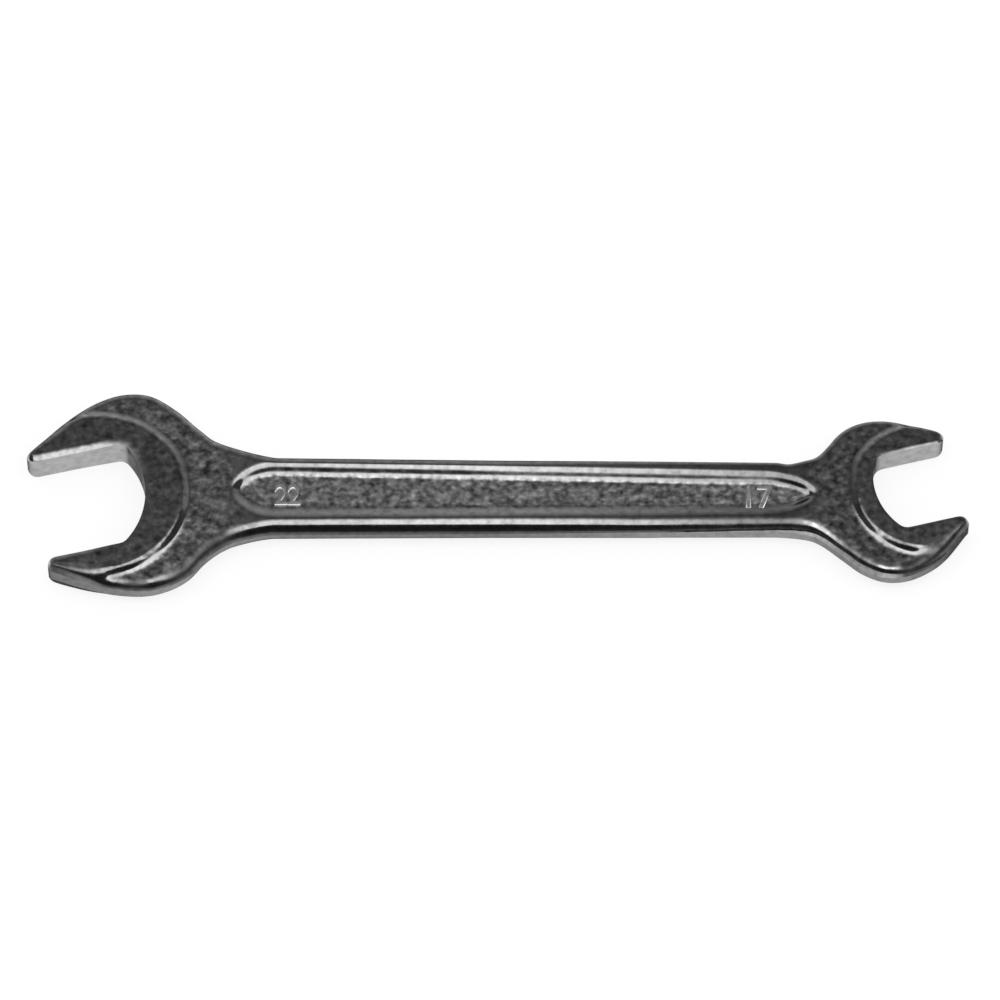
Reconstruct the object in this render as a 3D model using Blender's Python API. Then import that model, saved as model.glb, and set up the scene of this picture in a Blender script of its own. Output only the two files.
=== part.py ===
# Double open end wrench, drop forged in one piece from a steel bar.
# Metres throughout. X runs along the shank with the large jaw at -X, Z is up, and the tool lies flat.
# A jaw has its own axes: u runs out of the mouth from the nut's centre, and w runs across the flats.
# The outer side of a head, where w is negative, is the long side of its bend.

import math

import bmesh
import bpy
from mathutils import Vector

# Jaws
LARGE_OPENING = 0.0220        # across the flats of the nut
SMALL_OPENING = 0.0170
NUT_SPACING = 0.1662          # between the two nut centres, along the shank
LARGE_OFFSET = 0.0028         # the nut's centre off the shank's middle line
SMALL_OFFSET = 0.0022
LARGE_JAW_ANGLE = math.radians(13.4)
SMALL_JAW_ANGLE = math.radians(14.4)
CORNER_RADIUS = 0.0022        # fillet between a flat and the throat
LEAD_RADIUS = 0.0018          # rounding where a flat leaves the mouth
JAW_EDGE = 0.0008             # rounding along the edges of the opening

# Thickness, measured from the mid-plane
LARGE_HALF = 0.0035
SMALL_HALF = 0.0029
SHANK_START_HALF = 0.00265    # the shank's faces at the two tips of the panel
SHANK_END_HALF = 0.00255
PARTING_HALF = 0.00125        # half of the trimmed band round the whole outline
SIDE_RUN = 0.0022             # how far the side leans in above that band
LARGE_WEB_STEP = 0.00095      # drop from a jaw pad to the web
SMALL_WEB_STEP = 0.00075
LARGE_STEP_RUN = 0.0023       # width of that drop
SMALL_STEP_RUN = 0.00185
LARGE_WEB_RISE_RUN = 0.030    # length over which the web climbs by as much as its step
SMALL_WEB_RISE_RUN = 0.012

# Shank
LARGE_HALF_WIDTH = 0.0090
SMALL_HALF_WIDTH = 0.00745
PANEL_DEPTH = 0.00122
PANEL_WALL_RUN = 0.0030
PANEL_SHIFT = 0.0006          # the panel lies a little off the shank's middle line
LARGE_RIM = 0.0022            # from the panel's edge to the shank's side
SMALL_RIM = 0.0024
LARGE_PANEL_NOSE = 0.0088     # length of the panel's pointed end
SMALL_PANEL_NOSE = 0.0084

OVERRUN = 0.0008              # cutters stand this far clear of what they cut

# Outlines, as shares of the opening, from the shank to the tip
LARGE_OUTER_SHARES = [
    (-1.38, -0.350),
    (-1.22, -0.534),
    (-1.06, -0.775),
    (-0.86, -0.976),
    (-0.62, -1.044),
    (-0.36, -1.008),
    (-0.10, -0.896),
    (0.15, -0.741),
]
LARGE_INNER_SHARES = [
    (-1.34, 0.655),
    (-1.16, 0.687),
    (-0.98, 0.775),
    (-0.81, 0.902),
    (-0.62, 0.967),
    (-0.40, 0.972),
    (-0.14, 0.896),
    (0.12, 0.764),
]
SMALL_OUTER_SHARES = [
    (-1.50, -0.260),
    (-1.34, -0.390),
    (-1.17, -0.626),
    (-1.00, -0.855),
    (-0.78, -1.018),
    (-0.52, -1.070),
    (-0.25, -1.020),
    (0.00, -0.900),
]
SMALL_INNER_SHARES = [
    (-1.46, 0.690),
    (-1.28, 0.690),
    (-1.12, 0.707),
    (-0.96, 0.812),
    (-0.79, 0.942),
    (-0.60, 1.018),
    (-0.36, 1.020),
    (-0.09, 0.930),
]

LARGE_HEAD = {
    "opening": LARGE_OPENING,
    "turn": math.pi + LARGE_JAW_ANGLE,
    "centre": Vector((-NUT_SPACING / 2, -LARGE_OFFSET)),
    "half": LARGE_HALF,
    "shank_half": SHANK_START_HALF,
    "web_step": LARGE_WEB_STEP,
    "step_run": LARGE_STEP_RUN,
    "web_rise_run": LARGE_WEB_RISE_RUN,
    "outer_shares": LARGE_OUTER_SHARES,
    "inner_shares": LARGE_INNER_SHARES,
    "outer_tip_shares": (0.282, -0.560),
    "inner_tip_shares": (0.326, 0.536),
    "tip_radius_share": 0.080,
    "pad_centre_shares": (-0.158, -0.066),
    "pad_radius_share": 0.718,
    "throat_centre_shares": (0.158, -0.114),
    "throat_radius_share": 0.770,
    "panel_tip_share": 1.33,
}
SMALL_HEAD = {
    "opening": SMALL_OPENING,
    "turn": SMALL_JAW_ANGLE,
    "centre": Vector((NUT_SPACING / 2, SMALL_OFFSET)),
    "half": SMALL_HALF,
    "shank_half": SHANK_END_HALF,
    "web_step": SMALL_WEB_STEP,
    "step_run": SMALL_STEP_RUN,
    "web_rise_run": SMALL_WEB_RISE_RUN,
    "outer_shares": SMALL_OUTER_SHARES,
    "inner_shares": SMALL_INNER_SHARES,
    "outer_tip_shares": (0.266, -0.568),
    "inner_tip_shares": (0.285, 0.600),
    "tip_radius_share": 0.090,
    "pad_centre_shares": (-0.040, -0.043),
    "pad_radius_share": 0.784,
    "throat_centre_shares": (0.236, 0.038),
    "throat_radius_share": 0.831,
    "panel_tip_share": 1.24,
}

TIP_RUN_SHARE = 0.45          # the sides lean in less at the tips
CURVE_STEPS = 4               # segments between two points of an outline
ARC_STEPS = 5
THROAT_STEPS = 22
TURNED_STEPS = 96
NOSE_STEPS = 12
NOSE_POWER = 1.75             # 2 would be an ellipse, and 1 two straight lines
NOSE_RUN_SHARE = 0.85         # the panel's walls lean in less at its noses
SHANK_END_SHARE = 1.75        # openings from the nut's centre to where the shank turns straight
SHANK_LEAD_SHARE = 2.20
TIP_ANGLE = math.radians(66.0)
LEAD_ANGLE = math.radians(62.0)
EDGE_ANGLES = [math.radians(a) for a in (0.0, 26.0, 50.0)]
CREASE_ANGLE = math.radians(28.0)

# A side from the trimmed band to the face, and a wall from its crest to its foot, as run and rise
SIDE_SHARES = [(0.00, 0.00), (0.13, 0.29), (0.33, 0.64), (0.56, 0.85), (0.80, 0.97), (1.00, 1.00)]
WALL_SHARES = [(0.18, 0.08), (0.38, 0.32), (0.62, 0.68), (0.82, 0.92), (1.00, 1.00)]


def clear_scene():
    for old in list(bpy.data.objects):
        bpy.data.objects.remove(old, do_unlink=True)


def jaw_point(head, u, w):
    """A point given along and across the jaw, placed on the tool."""
    along = Vector((math.cos(head["turn"]), math.sin(head["turn"])))
    across = Vector((-along.y, along.x))
    return head["centre"] + along * u + across * w


def shared_point(head, shares):
    return jaw_point(head, shares[0] * head["opening"], shares[1] * head["opening"])


def mesh_object(name, bm):
    """The mesh as an object, with its faces turned outwards."""
    bmesh.ops.recalc_face_normals(bm, faces=bm.faces)
    mesh = bpy.data.meshes.new(name)
    bm.to_mesh(mesh)
    bm.free()
    made = bpy.data.objects.new(name, mesh)
    bpy.context.collection.objects.link(made)
    return made


def loft(name, rings):
    """A closed solid through rings of equal length, capped at both ends."""
    bm = bmesh.new()
    loops = [[bm.verts.new(point) for point in ring] for ring in rings]
    for lower, upper in zip(loops, loops[1:]):
        for i, corner in enumerate(lower):
            j = (i + 1) % len(lower)
            bm.faces.new((corner, lower[j], upper[j], upper[i]))
    bm.faces.new(reversed(loops[0]))
    bm.faces.new(loops[-1])
    return mesh_object(name, bm)


def smooth_curve(points, steps):
    """A Catmull-Rom curve from the second point to the last but one."""
    curve = []
    for before, start, end, after in zip(points, points[1:], points[2:], points[3:]):
        for k in range(steps):
            t = k / steps
            slope_in = (end - before) / 2
            slope_out = (after - start) / 2
            curve.append(
                start * (2 * t**3 - 3 * t**2 + 1)
                + slope_in * (t**3 - 2 * t**2 + t)
                + end * (3 * t**2 - 2 * t**3)
                + slope_out * (t**3 - t**2)
            )
    return curve


def with_run(point, share):
    """An outline point that carries how far its side leans in."""
    return Vector((point.x, point.y, share * SIDE_RUN))


def tip_arc(head, centre_shares, side):
    """The round end of one jaw, from its flank to the front. Side is -1 outside and 1 inside."""
    radius = head["tip_radius_share"] * head["opening"]
    arc = []
    for k in range(ARC_STEPS + 1):
        angle = side * TIP_ANGLE * (1 - k / ARC_STEPS)
        u = centre_shares[0] * head["opening"] + radius * math.cos(angle)
        w = centre_shares[1] * head["opening"] + radius * math.sin(angle)
        arc.append(with_run(jaw_point(head, u, w), TIP_RUN_SHARE))
    return arc


def flank(head, shares, tip, shank_end, shank_inside):
    """One side of a head, from the shank's edge to the tip's arc."""
    points = [with_run(shank_inside, 1.0), with_run(shank_end, 1.0)]
    points += [with_run(shared_point(head, pair), 1.0) for pair in shares]
    return smooth_curve(points + tip[:2], CURVE_STEPS)


def shank_half_width(x):
    """The half width tapers evenly from the large nut's centre to the small one's."""
    share = x / NUT_SPACING + 0.5
    return LARGE_HALF_WIDTH + (SMALL_HALF_WIDTH - LARGE_HALF_WIDTH) * share


def head_outline(head):
    """The outline round one head, with its mouth still closed."""
    outer_tip = tip_arc(head, head["outer_tip_shares"], -1)
    inner_tip = tip_arc(head, head["inner_tip_shares"], 1)
    side = 1 if head["centre"].x > 0 else -1
    end_x = head["centre"].x - side * SHANK_END_SHARE * head["opening"]
    lead_x = head["centre"].x - side * SHANK_LEAD_SHARE * head["opening"]
    edges = []
    for sign in (-side, side):
        end = Vector((end_x, sign * shank_half_width(end_x)))
        lead = Vector((lead_x, sign * shank_half_width(lead_x)))
        edges.append((end, lead))
    outer = flank(head, head["outer_shares"], outer_tip, *edges[0])
    inner = flank(head, head["inner_shares"], inner_tip, *edges[1])
    return outer + outer_tip + list(reversed(inner + inner_tip))


def inset(outline, share):
    """The outline moved inwards by a share of what each point carries."""
    moved = []
    count = len(outline)
    for i, point in enumerate(outline):
        chord = outline[(i + 1) % count] - outline[i - 1]
        inward = Vector((-chord.y, chord.x)).normalized()
        moved.append(Vector((point.x, point.y)) + inward * share * point.z)
    return moved


def face_profile():
    """Places along the tool and the half thickness there: level heads, and a shank that is thinner."""
    profile = []
    for head, side in ((LARGE_HEAD, -1), (SMALL_HEAD, 1)):
        crest = head["pad_radius_share"] * head["opening"]
        pad_end = shared_point(head, head["pad_centre_shares"]).x - side * (crest + head["step_run"])
        tip = head["centre"].x - side * head["panel_tip_share"] * head["opening"]
        ends = [(pad_end, head["half"]), (tip, head["shank_half"])]
        profile += ends[::-side]
    return profile


def half_thickness(x):
    """Flat across both heads, with straight tapers between the places of the profile."""
    profile = face_profile()
    if x <= profile[0][0]:
        return profile[0][1]
    for (start, low), (end, high) in zip(profile, profile[1:]):
        if x <= end:
            return low + (high - low) * (x - start) / (end - start)
    return profile[-1][1]


def blank():
    """The whole forging before its faces and jaws are cut: sides that round over to flat faces."""
    outline = head_outline(SMALL_HEAD) + head_outline(LARGE_HEAD)
    rings = []
    for sign in (-1, 1):
        for run, climb in SIDE_SHARES[::sign]:
            ring = []
            for point in inset(outline, run):
                rise = (half_thickness(point.x) - PARTING_HALF) * climb
                ring.append((point.x, point.y, sign * (PARTING_HALF + rise)))
            rings.append(ring)
    return loft("forged_body", rings)


def taper_faces(body):
    """Edges across both faces where the taper starts and ends, so that every face is flat."""
    bm = bmesh.new()
    bm.from_mesh(body.data)
    for x, _ in face_profile():
        parts = bm.verts[:] + bm.edges[:] + bm.faces[:]
        bmesh.ops.bisect_plane(bm, geom=parts, plane_co=(x, 0, 0), plane_no=(1, 0, 0))
    for vert in bm.verts:
        if abs(vert.co.z) > half_thickness(vert.co.x):
            vert.co.z = math.copysign(half_thickness(vert.co.x), vert.co.z)
    bm.to_mesh(body.data)
    bm.free()


def turned_cutter(name, head, sign):
    """Lowers the web round a jaw pad: a profile of radius and height, turned about the pad's centre."""
    crest = head["pad_radius_share"] * head["opening"]
    top = head["half"]
    step = head["web_step"]
    run = head["step_run"]
    profile = [(crest - run / 4, top + OVERRUN)]
    for share, drop in WALL_SHARES:
        profile.append((crest + share * run, top - drop * step))
    flat_end = crest + 3 * run / 2
    climb = step / head["web_rise_run"]
    profile.append((flat_end, top - step))
    profile.append((flat_end + (step + OVERRUN) / climb, top + OVERRUN))
    centre = shared_point(head, head["pad_centre_shares"])
    bm = bmesh.new()
    corners = [bm.verts.new((centre.x + r, centre.y, sign * z)) for r, z in profile]
    edges = [bm.edges.new(pair) for pair in zip(corners, corners[1:] + corners[:1])]
    bmesh.ops.spin(
        bm,
        geom=corners + edges,
        cent=(centre.x, centre.y, 0),
        axis=(0, 0, 1),
        angle=math.tau,
        steps=TURNED_STEPS,
        use_merge=True,
    )
    return mesh_object(name, bm)


def slot_outline(head):
    """The opening seen from above, in the jaw's axes: mouth, flats, fillets and throat arc."""
    half = head["opening"] / 2
    radius = head["throat_radius_share"] * head["opening"]
    centre_u = head["throat_centre_shares"][0] * head["opening"]
    centre_w = head["throat_centre_shares"][1] * head["opening"]
    sides = []
    for sign, tip in ((-1, head["outer_tip_shares"]), (1, head["inner_tip_shares"])):
        front = (tip[0] + head["tip_radius_share"]) * head["opening"]
        side = []
        far_u = front + 4 * OVERRUN
        exit_u = front - LEAD_RADIUS * (1 - math.sin(LEAD_ANGLE))
        exit_w = half + LEAD_RADIUS * (1 - math.cos(LEAD_ANGLE))
        side.append((far_u, sign * (exit_w + (far_u - exit_u) * math.tan(LEAD_ANGLE))))
        for k in range(ARC_STEPS + 1):
            angle = LEAD_ANGLE * (1 - k / ARC_STEPS)
            u = front - LEAD_RADIUS * (1 - math.sin(angle))
            side.append((u, sign * (half + LEAD_RADIUS * (1 - math.cos(angle)))))
        across = half - CORNER_RADIUS - sign * centre_w
        fillet_u = centre_u - math.sqrt((radius - CORNER_RADIUS) ** 2 - across**2)
        fillet_w = half - CORNER_RADIUS
        end_angle = math.atan2(sign * fillet_w - centre_w, fillet_u - centre_u)
        turn = end_angle % math.tau - sign * math.pi / 2 % math.tau
        for k in range(ARC_STEPS + 1):
            angle = sign * math.pi / 2 + turn * k / ARC_STEPS
            u = fillet_u + CORNER_RADIUS * math.cos(angle)
            side.append((u, sign * fillet_w + CORNER_RADIUS * math.sin(angle)))
        sides.append((side, end_angle % math.tau))
    (outer, outer_angle), (inner, inner_angle) = sides
    throat = []
    for k in range(1, THROAT_STEPS):
        angle = inner_angle + (outer_angle - inner_angle) * k / THROAT_STEPS
        throat.append((centre_u + radius * math.cos(angle), centre_w + radius * math.sin(angle)))
    return inner + throat + list(reversed(outer))


def slot_cutter(name, head):
    """The opening as a solid that widens at both faces, which rounds the edges of the jaws."""
    outline = []
    for u, w in slot_outline(head):
        point = jaw_point(head, u, w)
        outline.append(Vector((point.x, point.y, -JAW_EDGE)))
    levels = [(1 - math.cos(a), head["half"] - JAW_EDGE * (1 - math.sin(a))) for a in EDGE_ANGLES]
    share, height = levels[-1]
    reach = JAW_EDGE * (1 - math.sin(EDGE_ANGLES[-1])) + OVERRUN
    levels.append((share + reach * math.tan(EDGE_ANGLES[-1]) / JAW_EDGE, height + reach))
    levels = [(share, -height) for share, height in reversed(levels)] + levels
    rings = []
    for share, height in levels:
        rings.append([(p.x, p.y, height) for p in inset(outline, share)])
    return loft(name, rings)


def panel_end(head):
    """Where the panel's edge reaches the shank's middle line, and which way its nose points."""
    side = 1 if head["centre"].x > 0 else -1
    return head["centre"].x - side * head["panel_tip_share"] * head["opening"], side


def panel_ring(wall_share, drop, sign):
    """The panel's edge moved a share of the wall's run towards its middle."""
    ring = []
    run = wall_share * PANEL_WALL_RUN
    noses = ((SMALL_HEAD, SMALL_RIM, SMALL_PANEL_NOSE), (LARGE_HEAD, LARGE_RIM, LARGE_PANEL_NOSE))
    for head, rim, nose in noses:
        tip, side = panel_end(head)
        shoulder = tip - side * nose
        half = shank_half_width(shoulder) - rim - run
        length = nose - run * NOSE_RUN_SHARE
        for k in range(NOSE_STEPS + 1):
            angle = math.pi * (k / NOSE_STEPS - 0.5)
            reach = math.cos(angle) ** (2 / NOSE_POWER) if abs(angle) < math.pi / 2 else 0.0
            spread = math.copysign(abs(math.sin(angle)) ** (2 / NOSE_POWER), angle)
            x = shoulder + side * length * reach
            y = PANEL_SHIFT + side * half * spread
            ring.append((x, y, sign * (half_thickness(x) - drop)))
    return ring


def panel_cutter(name, sign):
    """Sinks the long panel into one face, with walls that curve in to a flat floor."""
    rings = [panel_ring(-WALL_SHARES[0][0], -OVERRUN, sign)]
    for run, drop in WALL_SHARES:
        rings.append(panel_ring(run, drop * PANEL_DEPTH, sign))
    return loft(name, rings)


def cut(body, cutter):
    cutter.hide_render = True
    cutter.display_type = "WIRE"
    modifier = body.modifiers.new(cutter.name, "BOOLEAN")
    modifier.operation = "DIFFERENCE"
    modifier.solver = "EXACT"
    modifier.object = cutter


def forged_steel():
    """Bright plated steel, satin from the forging."""
    material = bpy.data.materials.new("plated_steel")
    material.use_nodes = True
    shader = material.node_tree.nodes["Principled BSDF"]
    shader.inputs["Base Color"].default_value = (0.62, 0.62, 0.63, 1.0)
    shader.inputs["Metallic"].default_value = 1.0
    shader.inputs["Roughness"].default_value = 0.28
    return material


def stand(body):
    """Sets the origin under the middle of the tool, on the surface that it lies on."""
    xs = [vert.co.x for vert in body.data.vertices]
    ys = [vert.co.y for vert in body.data.vertices]
    holder = bpy.data.objects.new("wrench", None)
    bpy.context.collection.objects.link(holder)
    for made in bpy.data.objects:
        if made is not holder:
            made.parent = holder
    middle_x = (min(xs) + max(xs)) / 2
    middle_y = (min(ys) + max(ys)) / 2
    holder.location = (-middle_x, -middle_y, max(LARGE_HALF, SMALL_HALF))


def main():
    clear_scene()
    body = blank()
    taper_faces(body)
    for head, size in ((LARGE_HEAD, "large"), (SMALL_HEAD, "small")):
        for sign, face in ((1, "top"), (-1, "under")):
            cut(body, turned_cutter(f"{size}_web_{face}", head, sign))
        cut(body, slot_cutter(f"{size}_jaw_opening", head))
    for sign, face in ((1, "top"), (-1, "under")):
        cut(body, panel_cutter(f"panel_{face}", sign))
    body.data.materials.append(forged_steel())
    body.data.shade_smooth()
    body.data.set_sharp_from_angle(angle=CREASE_ANGLE)
    stand(body)


main()
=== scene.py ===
# A double open end wrench lying on a white table, seen from the front at a slant.
import math

import bpy
import numpy as np
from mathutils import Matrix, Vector


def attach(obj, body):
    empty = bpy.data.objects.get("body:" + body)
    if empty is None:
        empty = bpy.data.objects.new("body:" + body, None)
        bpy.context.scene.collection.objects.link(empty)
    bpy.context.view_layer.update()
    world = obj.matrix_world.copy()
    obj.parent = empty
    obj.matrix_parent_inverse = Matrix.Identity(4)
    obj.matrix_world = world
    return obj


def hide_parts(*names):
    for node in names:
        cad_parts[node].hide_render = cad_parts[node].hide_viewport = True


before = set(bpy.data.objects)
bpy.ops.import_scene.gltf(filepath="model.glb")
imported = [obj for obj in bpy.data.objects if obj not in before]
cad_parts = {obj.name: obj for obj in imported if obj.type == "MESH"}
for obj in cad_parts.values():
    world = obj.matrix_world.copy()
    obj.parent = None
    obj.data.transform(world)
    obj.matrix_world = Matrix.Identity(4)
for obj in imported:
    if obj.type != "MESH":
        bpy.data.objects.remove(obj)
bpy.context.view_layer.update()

# The forging, in metres. Each jaw has its own axes: u runs out of the mouth and w across the flats.
# The outer jaw, where w is negative, is on the long side of the head's bend.
forging = {
    "midHeight": 0.0035,
    "middleLine": -0.000651,
    "halfWidths": (0.0090, 0.00745),
    # where the shank's faces begin and end, their height over the mid-plane there, and the climb up to them
    "shankEnds": (-0.0501, 0.0589),
    "shankHalves": (0.00265, 0.00255),
    "riseRun": 0.010,
    # slow waves in the faces: the turn of each along x and y, where it starts, and the height of them all
    "waves": ((410, 130, 0.4), (-260, 520, 1.9), (690, -340, 3.1), (150, 880, 4.4), (-960, 210, 5.2)),
    "waveHeight": 0.000006,
    # the outline: where it leaves the shank, as shares of the opening, its tips and its softened corners
    "shankLeads": (2.20, 1.75),
    "tipAngle": math.radians(66.0),
    "outlineSpacing": 0.00005,
    "outlineSoftness": 0.00028,
    # the opening: its mouth's corners, the fillets at the throat, and the tips' short round with its radius
    "leadRadius": 0.0018,
    "cornerRadius": 0.0022,
    "tipRound": (0.0022, 0.0034),
    # the opening's edge is rounded by this share behind the mouth, and fully past the start and run given
    "innerDropShare": 0.30,
    "mouthStart": (0.0745, 0.007),
    # the step round a pad: the shape of its upper edge, how far up its circle it is a far one, and its fade
    "padEdgePower": 1.3,
    "farReach": 0.6,
    "nearFadeRun": 0.006,
    # the panel: depth at its two ends, the far and the near wall, the turn between the two, and its noses
    "panelDepths": (0.00114, 0.00105),
    "wallRuns": (0.0030, 0.0034),
    "wallTurn": 0.004,
    "noseRunShare": 0.85,
    "nosePower": 1.75,
    # along x: half of the trimmed band, and the radius of the roll above it
    "sidePlaces": (-0.085, -0.072, -0.060, -0.044, 0.000, 0.030, 0.055, 0.070, 0.085),
    "trimHalves": (0.00150, 0.00115, 0.00080, 0.00062, 0.00070, 0.00105, 0.00120, 0.00085, 0.00110),
    "rollRadii": (0.0024, 0.0024, 0.0024, 0.0024, 0.0022, 0.0016, 0.0014, 0.0016, 0.0019),
    # the near roll has a radius of its own as far as the broad angle, and another below it
    "broadRadii": (0.0014, 0.0026, 0.0028, 0.0029, 0.0031, 0.0031, 0.0030, 0.0030, 0.0026),
    "lowRadii": (0.0010, 0.0027, 0.0024, 0.0027, 0.0026, 0.0021, 0.0018, 0.0018, 0.0022),
    "broadAngle": math.radians(27.0),
    "sideAngle": math.radians(72.0),
    "lowSlope": math.tan(math.radians(76.0)),
    # under the near roll, a land left by the trimming
    "landRuns": (0.0000, 0.0000, 0.0000, 0.0000, 0.0000, 0.0000, 0.0004, 0.0014, 0.0005),
    "landSlope": 0.28,
    # the band of rows along the outline: its width, how far its rows are evenly spread, and its share at the tips
    "bandRun": 0.0036,
    "bandEvenness": 0.6,
    "tipRunShare": 0.45,
    "tipRunLength": 0.009,
    "turnLength": 0.0013,
    # levels of the trimmed band's rows, as shares of its half height
    "wallLevels": (0.98, 0.5, 0.0, -0.5, -0.98),
    "bandRows": 17,
    "neckColumns": 54,
    "shankColumns": 150,
    # the shank's columns lie closer together under the panel's noses
    "noseDensity": 2.0,
    "noseReaches": (0.020, 0.016),
}
# The heads. The side is the way in which the jaw opens, and half is half of the pad's thickness. Tips, flanks, pads
# and throats are shares of the opening, measured from the nut's centre. A fade is given by its start and its run.
largeHead = {
    "opening": 0.0220,
    "turn": math.radians(193.4),
    "centre": (-0.081930, -0.003451),
    "side": -1,
    "half": 0.0035,
    "webStep": 0.00098,
    "stepRun": 0.0025,
    "farRunShare": 0.20,
    "farShift": 0.0002,
    "stepFade": (0.0745, 0.0065),
    "edgeRadius": 0.0015,
    "edgeDrop": 0.00038,
    "panelHalfWidth": 0.00657,
    "panelShift": 0.00048,
    "panelNose": 0.0088,
    "panelTipShare": 1.33,
    "outerTip": (0.282, 0.560),
    "innerTip": (0.326, 0.536),
    "tipRadius": 0.080,
    "padCentre": (-0.155, -0.046),
    "padRadius": 0.767,
    "throatCentre": (0.158, -0.114),
    "throatRadius": 0.770,
    "outerFlank": [(-1.38, -0.350), (-1.22, -0.534), (-1.06, -0.775), (-0.86, -0.976),
                   (-0.62, -1.044), (-0.36, -1.008), (-0.10, -0.896), (0.15, -0.741)],
    "innerFlank": [(-1.34, 0.655), (-1.16, 0.687), (-0.98, 0.775), (-0.81, 0.902),
                   (-0.62, 0.967), (-0.40, 0.972), (-0.14, 0.896), (0.12, 0.764)],
    "junctionShare": 1.30,
    "columns": (100, 100),
    "rows": 46,
}
smallHead = {
    "opening": 0.0170,
    "turn": math.radians(14.4),
    "centre": (0.084270, 0.001549),
    "side": 1,
    "half": 0.0029,
    "webStep": 0.00094,
    "stepRun": 0.0024,
    "farRunShare": 0.10,
    "farShift": 0.0007,
    "stepFade": (0.0808, 0.0062),
    "edgeRadius": 0.0007,
    "edgeDrop": 0.00012,
    "panelHalfWidth": 0.00525,
    "panelShift": 0.00020,
    "panelNose": 0.0112,
    "panelTipShare": 1.24,
    "outerTip": (0.266, 0.568),
    "innerTip": (0.285, 0.600),
    "tipRadius": 0.090,
    "padCentre": (-0.025, -0.042),
    "padRadius": 0.765,
    "throatCentre": (0.236, 0.038),
    "throatRadius": 0.831,
    "outerFlank": [(-1.50, -0.260), (-1.34, -0.390), (-1.17, -0.626), (-1.00, -0.855),
                   (-0.78, -1.018), (-0.52, -1.070), (-0.25, -1.020), (0.00, -0.900)],
    "innerFlank": [(-1.46, 0.690), (-1.28, 0.690), (-1.12, 0.707), (-0.96, 0.812),
                   (-0.79, 0.942), (-0.60, 1.018), (-0.36, 1.020), (-0.09, 0.930)],
    "junctionShare": 1.30,
    "columns": (80, 80),
    "rows": 34,
}
heads = (largeHead, smallHead)


# An ease curve: 3t^2 - 2t^3 between 0 and 1.
def ease(t):
    t = np.clip(t, 0, 1)
    return t * t * (3 - 2 * t)


# The same curve for a value that passes a start and takes a run.
def rise(value, start, run):
    return ease((value - start) / run)


# Jaw coordinates turned by the head's angle and moved to its nut centre.
def toTool(head, u, w):
    c, s = math.cos(head["turn"]), math.sin(head["turn"])
    u, w = np.asarray(u, float), np.asarray(w, float)
    return np.stack([head["centre"][0] + c * u - s * w, head["centre"][1] + s * u + c * w], -1)


# A smooth curve from the second point to the last but one: on each stretch a cubic through its two ends, whose
# slope at an end is half the way between that end's neighbours.
def smoothCurve(points, steps):
    p = np.asarray(points, float)
    t = (np.arange(steps) / steps)[None, :, None]
    a, b, c, d = (p[k: len(p) - 3 + k, None, :] for k in range(4))
    curve = 0.5 * (2 * b + (c - a) * t + (2 * a - 5 * b + 4 * c - d) * t**2 + (3 * b - a - 3 * c + d) * t**3)
    return np.vstack([curve.reshape(-1, 2), p[-2:-1]])


# Distance along a polyline, from its first point: the running sum of its pieces.
def lengthsAlong(points):
    return np.concatenate([[0], np.cumsum(np.hypot(*np.diff(points, axis=0).T))])


# Points at the given distances along a polyline, on the straight lines between its points.
def pointsAt(points, lengths, stations):
    return np.stack([np.interp(stations, lengths, points[:, k]) for k in range(points.shape[1])], -1)


# Half the shank's width: a straight taper between the two nut centres.
def halfWidthAt(x):
    return np.interp(x, [h["centre"][0] for h in heads], forging["halfWidths"])


# The height of the web and the shank's faces: level round each head, an ease curve up to the shank, and a straight
# taper along it.
def baseHeight(x):
    start, end = forging["shankEnds"]
    left, right = forging["shankHalves"]
    webs = [h["half"] - h["webStep"] for h in heads]
    z = left + (right - left) * np.clip((x - start) / (end - start), 0, 1)
    z = z - (left - webs[0]) * (1 - ease((x - start) / forging["riseRun"] + 1))
    return z - (right - webs[1]) * ease((x - end) / forging["riseRun"])


# The flank of a head from the shank to the point at the front of its tip: a smooth curve through the given points,
# then the arc of the tip, centre plus radius times (cos a, sin a), as far as the mouth's rounding.
def flankCurve(head, key, sign):
    o, side = head["opening"], head["side"]
    tu, tw = head[key + "Tip"]
    radius = head["tipRadius"] * o
    middle = (o / 2 + forging["leadRadius"] + tw * o) / 2
    start = math.asin((middle - tw * o) / radius)
    angles = np.linspace(forging["tipAngle"], start, 40)
    arc = toTool(head, tu * o + radius * np.cos(angles), sign * (tw * o + radius * np.sin(angles)))
    flank = np.array(head[key + "Flank"]) * o
    shares = toTool(head, flank[:, 0], flank[:, 1])
    up = 1 if sign * side > 0 else -1
    xs = head["centre"][0] - side * np.array(forging["shankLeads"]) * o
    shank = np.stack([xs, forging["middleLine"] + up * halfWidthAt(xs)], -1)
    # the ninth point of the arc gives the curve's slope where it meets the arc
    curve = smoothCurve(np.vstack([shank, shares, arc[:1], arc[8:9]]), 24)
    return np.vstack([curve, arc[1:]])


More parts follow.
